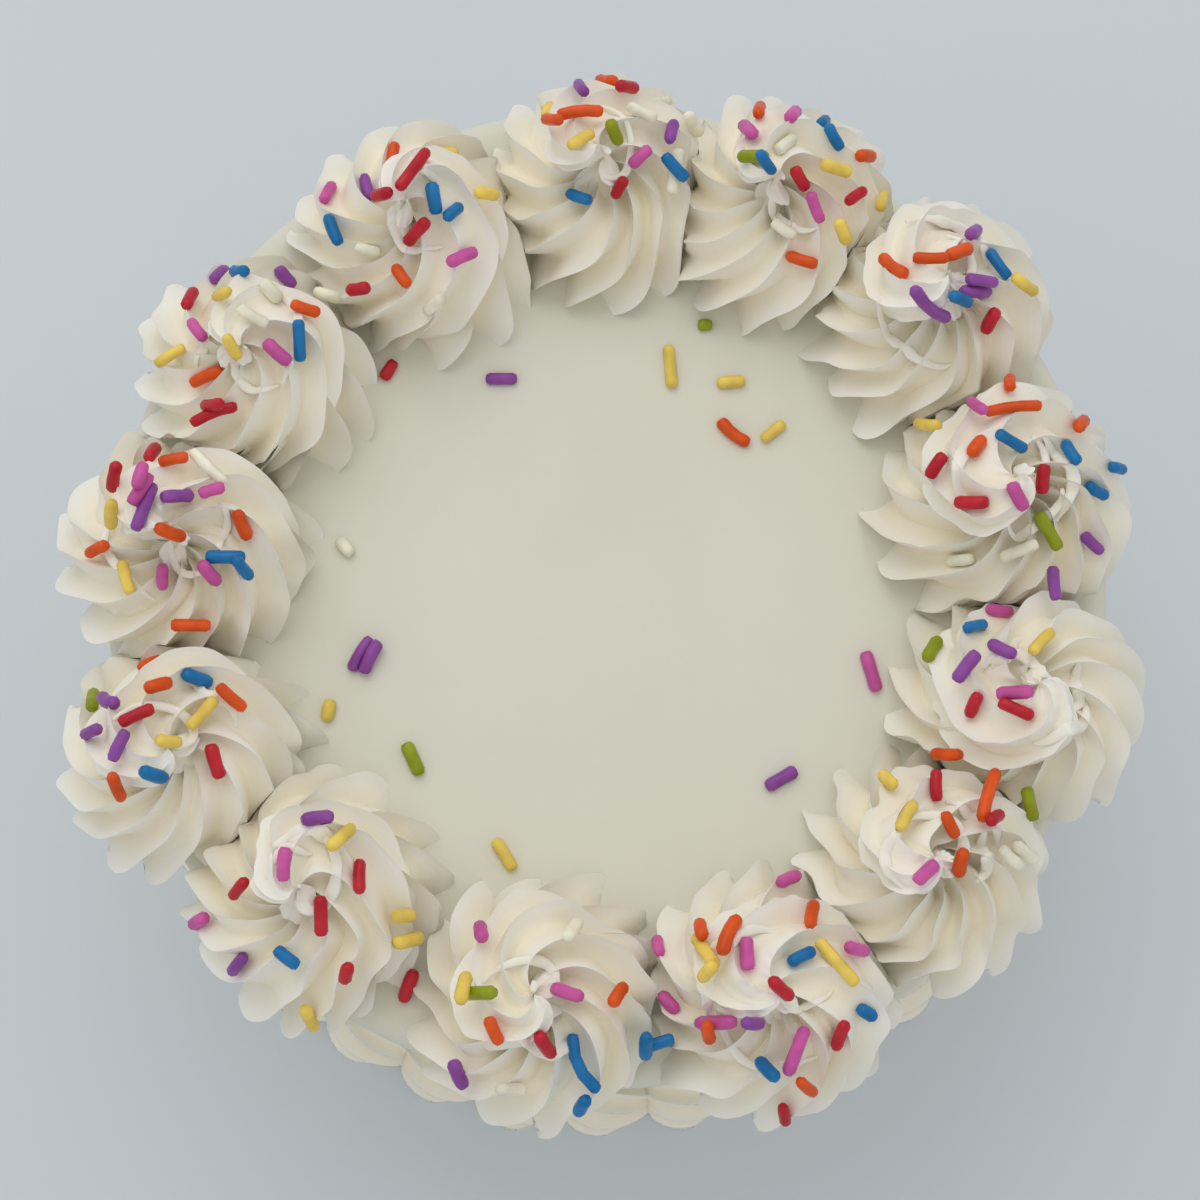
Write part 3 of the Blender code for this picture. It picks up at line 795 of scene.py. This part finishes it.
def border_grid():
    """Points of the ring and their depth in its grooves.

    Along a shell, s runs from 0 to 1 and the section swells as sin(pi s) to a power. The section is a quarter
    of a star from the floor to the cake's wall: its radius falls by a share in each groove.
    """
    rng = np.random.default_rng(BORDER_SEED)
    count = SHELLS * SHELL_STEPS
    lap = np.arange(count)[:, None] / count
    s = (np.arange(count)[:, None] % SHELL_STEPS) / SHELL_STEPS
    swell = BORDER_WAIST + (1 - BORDER_WAIST) * np.sin(math.pi * s**SHELL_LEAN) ** BORDER_FULLNESS
    swell = swell * (1 - SHELL_UNEVEN + SHELL_UNEVEN * np.sin(TAU * (UNEVEN_LAPS * lap + rng.uniform())))
    around = np.linspace(0.0, math.pi / 2 + BEHIND_ANGLE, BORDER_COLUMNS)[None, :]
    ridge = np.abs(np.sin(SHELL_RIDGES * (around + RIDGE_SLANT * (s - 0.5)))) ** RIDGE_SHARPNESS
    star = swell * (1 - SHELL_GROOVE * ridge)
    angle = TAU * lap
    out = CAKE_RADIUS + np.maximum(BORDER_WIDTH * star * np.cos(around), -BEHIND_WALL)
    up = BORDER_HEIGHT * star * np.sin(around)
    return np.stack([out * np.cos(angle), out * np.sin(angle), up], -1), ridge


def ring_faces(rows, columns):
    """Quads of a grid that closes on itself in both directions."""
    here = np.arange(rows)[:, None] * columns
    there = (here + columns) % (rows * columns)
    column = np.arange(columns)[None, :]
    after = (column + 1) % columns
    return np.stack([here + column, there + column, there + after, here + after], -1).reshape(-1, 4).tolist()


def build_border():
    grid, ridge = border_grid()
    behind = grid[:, -1:] * (1.0, 1.0, 0.0)
    grid = np.concatenate([grid, behind], 1)
    ridge = np.concatenate([ridge, ridge[:, -1:]], 1)
    piece = add_piece("shell_border", grid.reshape(-1, 3), ring_faces(*grid.shape[:2]), PIPED)
    # The groove depth also sets the painted highlight on the shells' crests and painted bounce light in their
    # grooves
    write_groove(piece, ridge.reshape(-1))
    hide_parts("foot_border")
    return piece


border = build_border()
iced.append(border)
print("border:", len(border.data.polygons), "faces")

# %% [markdown]
# ## The sprinkles
#
# Sugar sprinkles are cut from a soft strand, so each is a short rod with rounded ends, about 2 mm thick and
# rarely quite straight. Most fell on the swirls' tops in heaps. A heap is laid out by a spiral rule: the
# places wind outwards by the golden angle and their distance grows as a square root, so they spread evenly.
# Lengths and headings are drawn. The ones that lie apart, and those on the flat top, stand in a list.

# %% Colours and places of the sprinkles
COLOURS = {
    "orange": (0.76, 0.085, 0.002),
    "red": (0.52, 0.008, 0.022),
    "blue": (0.002, 0.165, 0.42),
    "purple": (0.28, 0.065, 0.34),
    "pink": (0.62, 0.095, 0.36),
    "yellow": (0.86, 0.62, 0.11),
    "green": (0.29, 0.34, 0.004),
    "white": (0.88, 0.84, 0.66),
}
# One letter for each colour, in the same order
LETTERS = dict(zip("orbpkygw", COLOURS))
SPRINKLE_RADIUS = 1.0 * MM
SHORT_LENGTHS = (4.0, 5.6)
SHORT_BOW = 0.15
GOLDEN_ANGLE = 137.5
HEAP_SEED = 13


class Cluster(NamedTuple):
    """A heap on a swirl: its middle from the swirl's, its reach in mm, its first direction in degrees, and a
    letter for each sprinkle's colour. A dot is a place that one of the long sprinkles takes."""

    x: float
    y: float
    reach: float
    start: float
    colours: str


# One for each swirl, in the same order
CLUSTERS = (
    Cluster(3, 5, 13, 250, "gw.krypprwobobwy."),
    Cluster(4.5, 2, 13, 225, "rywkbbrkwo.yb.yoo"),
    Cluster(4, 1, 9, 335, "pobborp.y"),
    Cluster(2, 2, 17, 330, "r.kbo..rbk.orpowbyp"),
    Cluster(-6, 4, 10, 55, "pp.bryg.k"),
    Cluster(4, 6, 12, 215, "orro.ywokgy"),
    Cluster(-2, 1, 17, 340, "rkpby..o.obokr..kkokb"),
    Cluster(1, -3.5, 16, 275, "rko..woybwpbk"),
    Cluster(0.5, -2.5, 18, 335, ".kbrrrppy.y.kr"),
    Cluster(-1.5, 3, 12, 170, "ryop..bbprooog"),
    Cluster(0, 1, 13, 290, "op..kkkykoyor..obr"),
    Cluster(0, 4, 14, 350, "wyywkkboor.py.prw"),
    Cluster(-1, -0.5, 15, 165, "rr.wbpo.bkorykwy"),
)


class Sprinkle(NamedTuple):
    """One sprinkle: colour, middle and length in mm, heading in degrees, and how far its middle bows."""

    colour: str
    x: float
    y: float
    length: float
    heading: float
    bow: float = 0.0


LONG_SPRINKLES = (
    Sprinkle("red", 26.0, -81.5, 4.6, 105),
    Sprinkle("blue", 37.5, -67.0, 3.4, 150),
    Sprinkle("orange", -4.0, 67.0, 7.0, 5, 0.5),
    Sprinkle("white", 10.5, 60.0, 7.0, 80),
    Sprinkle("pink", 21.5, 65.5, 6.5, 110),
    Sprinkle("green", 22.0, 60.0, 5.5, 160),
    Sprinkle("purple", 48.0, 36.5, 10.0, 160, 0.9),
    Sprinkle("purple", 55.5, 40.0, 6.5, 15),
    Sprinkle("orange", 43.0, 43.0, 6.0, 130, 0.5),
    Sprinkle("orange", 60.5, 21.5, 8.5, 5, 0.4),
    Sprinkle("green", 66.0, 4.0, 6.5, 120),
    Sprinkle("blue", 60.0, 16.5, 6.0, 160),
    Sprinkle("white", 61.5, 1.0, 6.0, 20),
    Sprinkle("pink", 59.0, -21.5, 5.5, 0),
    Sprinkle("red", 59.0, -24.0, 5.5, 155),
    Sprinkle("orange", 55.5, -36.0, 9.0, 70, 0.3),
    Sprinkle("white", 61.0, -44.0, 6.0, 155),
    Sprinkle("yellow", 33.0, -60.0, 8.5, 130),
    Sprinkle("yellow", 14.0, -58.5, 8.5, 120),
    Sprinkle("pink", 27.0, -72.5, 8.0, 70),
    Sprinkle("pink", 15.5, -68.5, 7.5, 0),
    Sprinkle("orange", 17.5, -56.5, 6.5, 65, 0.5),
    Sprinkle("blue", -3.0, -74.0, 9.0, 115, 1.3),
    Sprinkle("green", -18.0, -64.5, 6.0, 0),
    Sprinkle("yellow", -38.0, -42.5, 6.0, 50),
    Sprinkle("yellow", -29.0, -56.5, 6.0, 20),
    Sprinkle("red", -41.0, -53.5, 6.0, 90),
    Sprinkle("yellow", -59.0, -24.0, 6.0, 50),
    Sprinkle("purple", -72.5, -22.0, 6.0, 150, 0.6),
    Sprinkle("purple", -67.5, 5.5, 8.0, 75),
    Sprinkle("pink", -68.0, 8.0, 5.5, 60),
    Sprinkle("white", -59.0, 12.5, 7.5, 135),
    Sprinkle("blue", -56.5, -0.5, 6.0, 0),
    Sprinkle("orange", -62.0, -10.0, 6.0, 0),
    Sprinkle("red", -59.0, 21.5, 7.5, 20, 0.5),
    Sprinkle("blue", -46.0, 32.0, 6.5, 90),
    Sprinkle("red", -29.0, 57.0, 8.5, 60),
    Sprinkle("blue", -26.0, 53.5, 5.0, 100),
)
TOP_SPRINKLES = (
    Sprinkle("purple", -16.5, 31.5, 5.0, 0),
    Sprinkle("yellow", 10.0, 33.5, 7.0, 95),
    Sprinkle("yellow", 19.5, 31.0, 4.5, 5),
    Sprinkle("orange", 20.0, 23.0, 6.0, 140, 0.5),
    Sprinkle("yellow", 26.0, 23.0, 4.5, 40),
    Sprinkle("purple", -37.6, -12.4, 6.0, 60, 0.3),
    Sprinkle("purple", -36.0, -13.0, 5.6, 64, 0.3),
    Sprinkle("yellow", -15.5, -43.0, 5.5, 122),
    Sprinkle("green", 15.5, 40.3, 2.4, 0),
    Sprinkle("red", -34.2, 33.0, 3.6, 60),
    Sprinkle("yellow", -42.5, -21.0, 3.4, 80),
    Sprinkle("green", -29.5, -28.5, 5.5, 115),
    Sprinkle("purple", 26.5, -31.5, 5.5, 30),
    Sprinkle("pink", 40.5, -15.0, 6.5, 105),
    Sprinkle("white", -40.5, 4.5, 3.4, 130),
)


def cluster_sprinkles(number):
    """Place k of n lies at reach sqrt((k + 0.5) / n), in the direction start + k times the golden angle."""
    swirl, cluster = SWIRLS[number], CLUSTERS[number]
    rng = random.Random(HEAP_SEED + number)
    heap = []
    for k, letter in enumerate(cluster.colours):
        distance = cluster.reach * math.sqrt((k + 0.5) / len(cluster.colours))
        direction = math.radians(cluster.start + k * GOLDEN_ANGLE)
        x = swirl.x + cluster.x + distance * math.cos(direction)
        y = swirl.y + cluster.y + distance * math.sin(direction)
        length, heading = rng.uniform(*SHORT_LENGTHS), rng.uniform(0, 180)
        if letter != ".":
            heap.append(Sprinkle(LETTERS[letter], x, y, length, heading, SHORT_BOW))
    return heap


heaps = [sprinkle for number in range(len(SWIRLS)) for sprinkle in cluster_sprinkles(number)]
all_sprinkles = list(TOP_SPRINKLES) + list(LONG_SPRINKLES) + heaps
print(len(all_sprinkles), "sprinkles")

# %% [markdown]
# Each sprinkle rests on what is under it. Rays cast straight down at a few places along it measure the icing,
# and sprinkles laid before it count as well, so heaps pile up. It takes the slope of what carries its ends,
# and is then raised until the highest place under it is pressed in only a little.

# %% Rest the sprinkles on the icing
SINK = 0.35 * MM
STEEPEST = 1.3
# Where rays go down: shares of half the length along a sprinkle, and of its radius to each side
ALONG = np.linspace(-0.9, 0.9, 9)
ASIDE = np.array([-0.7, 0.0, 0.7])


def pile_height(x, y, laid):
    """Where a sprinkle of the same thickness would touch the ones that lie there, as balls on balls."""
    if not len(laid):
        return 0.0
    apart = np.hypot(laid[:, 0] - x, laid[:, 1] - y)
    reach = np.clip((2 * SPRINKLE_RADIUS) ** 2 - apart**2, 0.0, None)
    return float(np.max(np.where(reach > 0, laid[:, 2] + np.sqrt(reach) - SPRINKLE_RADIUS, 0.0)))


def ground(x, y, side):
    """The icing under a round rod. What lies beside its middle line counts for less, as the rod curves up."""
    drop = SPRINKLE_RADIUS * (1 - np.sqrt(1 - ASIDE**2))
    places = np.array([x, y]) + SPRINKLE_RADIUS * ASIDE[:, None] * side
    return max(icing_height(*place) - less for place, less in zip(places, drop))


def rest(sprinkle, laid):
    """The middle and the direction of a sprinkle once it rests, and balls along it for the next ones."""
    heading = math.radians(sprinkle.heading)
    flat = np.array([math.cos(heading), math.sin(heading)])
    along = ALONG * sprinkle.length / 2 * MM
    plan = np.array([sprinkle.x, sprinkle.y]) * MM + along[:, None] * flat
    side = np.array([-flat[1], flat[0]])
    heights = np.array([max(ground(x, y, side), pile_height(x, y, laid)) for x, y in plan])
    slope = (heights[-2:].mean() - heights[:2].mean()) / (along[-2:].mean() - along[:2].mean())
    slope = min(max(slope, -STEEPEST), STEEPEST)
    lift = np.max(heights - slope * along) - SINK + SPRINKLE_RADIUS
    middle = np.array([sprinkle.x * MM, sprinkle.y * MM, lift])
    direction = np.array([flat[0], flat[1], slope]) / math.hypot(1.0, slope)
    balls = middle + along[:, None] * direction
    return middle, direction, balls


def rest_all(sprinkles):
    laid = np.zeros((0, 3))
    places = []
    for sprinkle in sprinkles:
        middle, direction, balls = rest(sprinkle, laid)
        laid = np.concatenate([laid, balls])
        places.append((middle, direction))
    return places


bpy.context.view_layer.update()
places = rest_all(all_sprinkles)
print("highest sprinkle at", round(max(middle[2] for middle, _ in places) / MM, 1), "mm")

# %% [markdown]
# All sprinkles of a colour are one mesh, made at once, in arrays with three axes: one for the sprinkles, one
# for the rings along each and one for the sides of a ring.

# %% Sprinkle meshes
SPRINKLE_SEED = 21
SPRINKLE_SIDES = 8
THICKNESSES = (0.88, 1.07)
RING_UNEVEN = (0.96, 1.04)
# Rings near an end, in shares of the radius: how far each lies from the tip, and how wide it is
RING_DEPTHS = np.array([0.14, 0.7])
RING_SIZES = np.array([0.72, 1.0])
# Rings between, in shares of the way from the middle to the last ring of an end
MIDDLE_RINGS = np.array([0.35, -0.35])
DARKER = 0.85
LIGHTER = 1.1
LIGHTER_STEP = 0.01
SUGAR_PATCHES = 260.0
SUGAR_ROUGHNESS = 0.33
SUGAR_SPECULAR = 0.28
SUGAR_PITS = 1500.0
SUGAR_BUMP = 0.15
SUGAR_DEPTH = 0.1 * MM


def sprinkle_grid(lengths, middles, directions, bows, rng):
    """Points of rods with round ends: rings near each end and between, on a middle line that bows aside.

    The middle line is middle + t direction + bow (1 - (2 t / length)^2) side. Each ring lies square to it.
    """
    radius = SPRINKLE_RADIUS * rng.uniform(*THICKNESSES, (len(lengths), 1))
    half = lengths[:, None] / 2
    ends = half - radius * RING_DEPTHS
    t = np.concatenate([-ends, -ends[:, -1:] * MIDDLE_RINGS, ends[:, ::-1]], 1)
    size = np.concatenate([RING_SIZES, 0 * MIDDLE_RINGS + 1.0, RING_SIZES[::-1]]) * radius
    size = size * rng.uniform(*RING_UNEVEN, size.shape)
    side = np.cross([0.0, 0.0, 1.0], directions)
    side = side / np.linalg.norm(side, axis=1, keepdims=True)
    bent = bows[:, None] * (1 - (t / half) ** 2)
    line = middles[:, None] + t[..., None] * directions[:, None] + bent[..., None] * side[:, None]
    tangent = directions[:, None] - (2 * bows[:, None] * t / half**2)[..., None] * side[:, None]
    tangent = tangent / np.linalg.norm(tangent, axis=-1, keepdims=True)
    up = np.cross(directions, side)[:, None] + 0 * tangent
    across = np.cross(up, tangent)
    around = np.arange(SPRINKLE_SIDES) * TAU / SPRINKLE_SIDES
    ring = across[:, :, None] * np.cos(around)[:, None] + up[:, :, None] * np.sin(around)[:, None]
    tips = middles[:, None] + half[..., None] * directions[:, None] * np.array([[-1.0], [1.0]])
    return line[:, :, None] + size[..., None, None] * ring, tips


def build_sprinkles(colour, material, rng):
    chosen = [index for index, sprinkle in enumerate(all_sprinkles) if sprinkle.colour == colour]
    lengths = np.array([all_sprinkles[index].length for index in chosen]) * MM
    bows = np.array([all_sprinkles[index].bow for index in chosen]) * MM
    middles = np.array([places[index][0] for index in chosen])
    directions = np.array([places[index][1] for index in chosen])
    grid, tips = sprinkle_grid(lengths, middles, directions, bows, rng)
    count, rings, sides = grid.shape[:3]
    points = np.concatenate([tips[:, :1], grid.reshape(count, -1, 3), tips[:, 1:]], 1)
    one = tube_faces(rings, sides)
    faces = [[index + k * points.shape[1] for index in face] for k in range(count) for face in one]
    return add_piece(f"sprinkles_{colour}", points.reshape(-1, 3), faces, material)


def sprinkle_material(colour):
    """Sugar with a thin glaze: a little lighter and darker from one place to the next, and softly pitted."""
    material, tree, shader, place = new_material(f"sprinkle_{colour}")
    base = COLOURS[colour]
    darker = tuple(channel * DARKER for channel in base)
    lighter = tuple(min(channel * LIGHTER + LIGHTER_STEP, 1.0) for channel in base)
    patches = noise(tree, place, SUGAR_PATCHES)
    tree.links.new(ramp(tree, patches, PATCH_SPAN, (darker, lighter)), shader.inputs["Base Color"])
    shader.inputs["Roughness"].default_value = SUGAR_ROUGHNESS
    shader.inputs["Specular IOR Level"].default_value = SUGAR_SPECULAR
    bumped(tree, shader, noise(tree, place, SUGAR_PITS), SUGAR_BUMP, SUGAR_DEPTH)
    return material


sprinkle_rng = np.random.default_rng(SPRINKLE_SEED)
sprinkle_pieces = [build_sprinkles(colour, sprinkle_material(colour), sprinkle_rng) for colour in COLOURS]
print("sprinkles:", sum(len(piece.data.polygons) for piece in sprinkle_pieces), "faces")

# %% [markdown]
# ## Floor, light and camera
#
# The cake stands on a plain pale floor. The light is soft and comes from above and a little from the back, as
# from a large window, so the front of every swirl is slightly darker. The camera looks almost straight down.

# %% Floor and light
FLOOR_HALF = 2.0
FLOOR_COLOUR = (0.62, 0.665, 0.70)
FLOOR_LIGHTER = 1.04
FLOOR_PATCHES = 4.0
FLOOR_DETAIL = 3.0
FLOOR_SPAN = (0.3, 0.7)
FLOOR_ROUGHNESS = 0.6
WINDOW_PLACE = (-0.25, 0.85, 1.3)
WINDOW_AIM = (0, 0, 0.05)
WINDOW_SIZE = 1.3
WINDOW_POWER = 6.7
WINDOW_COLOUR = (1.0, 0.985, 0.96)
ROOM_COLOUR = (0.97, 0.985, 1.0)
ROOM_STRENGTH = 0.68


def build_floor():
    material, tree, shader, place = new_material("floor")
    lighter = tuple(channel * FLOOR_LIGHTER for channel in FLOOR_COLOUR)
    patches = noise(tree, place, FLOOR_PATCHES, FLOOR_DETAIL)
    tree.links.new(ramp(tree, patches, FLOOR_SPAN, (FLOOR_COLOUR, lighter)), shader.inputs["Base Color"])
    shader.inputs["Roughness"].default_value = FLOOR_ROUGHNESS
    mesh = bpy.data.meshes.new("floor")
    corners = [(-1, -1), (1, -1), (1, 1), (-1, 1)]
    mesh.from_pydata([(x * FLOOR_HALF, y * FLOOR_HALF, 0) for x, y in corners], [], [(0, 1, 2, 3)])
    mesh.materials.append(material)
    floor = bpy.data.objects.new("floor", mesh)
    bpy.context.scene.collection.objects.link(floor)


def add_window():
    """A large square light that looks down at the cake."""
    data = bpy.data.lights.new("window", "AREA")
    data.size = WINDOW_SIZE
    data.energy = WINDOW_POWER
    data.color = WINDOW_COLOUR
    light = bpy.data.objects.new("window", data)
    light.location = WINDOW_PLACE
    light.rotation_euler = (Vector(WINDOW_AIM) - Vector(WINDOW_PLACE)).to_track_quat("-Z", "Y").to_euler()
    bpy.context.scene.collection.objects.link(light)


def add_room_light():
    """An even pale light from all round, as from bright walls."""
    world = bpy.data.worlds.new("pale room")
    world.use_nodes = True
    background = world.node_tree.nodes["Background"]
    background.inputs["Color"].default_value = (*ROOM_COLOUR, 1.0)
    background.inputs["Strength"].default_value = ROOM_STRENGTH
    bpy.context.scene.world = world


build_floor()
add_window()
add_room_light()
bpy.context.scene.view_settings.view_transform = "Standard"
print("window light:", WINDOW_POWER, "W")

# %% Camera
AIM = Vector((-1.04, -3.72, 78.0)) * MM
DISTANCE = 385.8 * MM
TILT = math.radians(11.15)
LENS = 75.0
SENSOR_WIDTH = 36.0
NEAREST_SEEN = 0.01

camera_data = bpy.data.cameras.new("camera")
camera_data.sensor_width = SENSOR_WIDTH
camera_data.lens = LENS
camera_data.clip_start = NEAREST_SEEN
camera = bpy.data.objects.new("camera", camera_data)
camera.location = AIM + DISTANCE * Vector((0, -math.sin(TILT), math.cos(TILT)))
camera.rotation_euler = (TILT, 0, 0)
bpy.context.scene.collection.objects.link(camera)
bpy.context.scene.camera = camera
print("camera at", [round(v / MM) for v in camera.location], "mm")
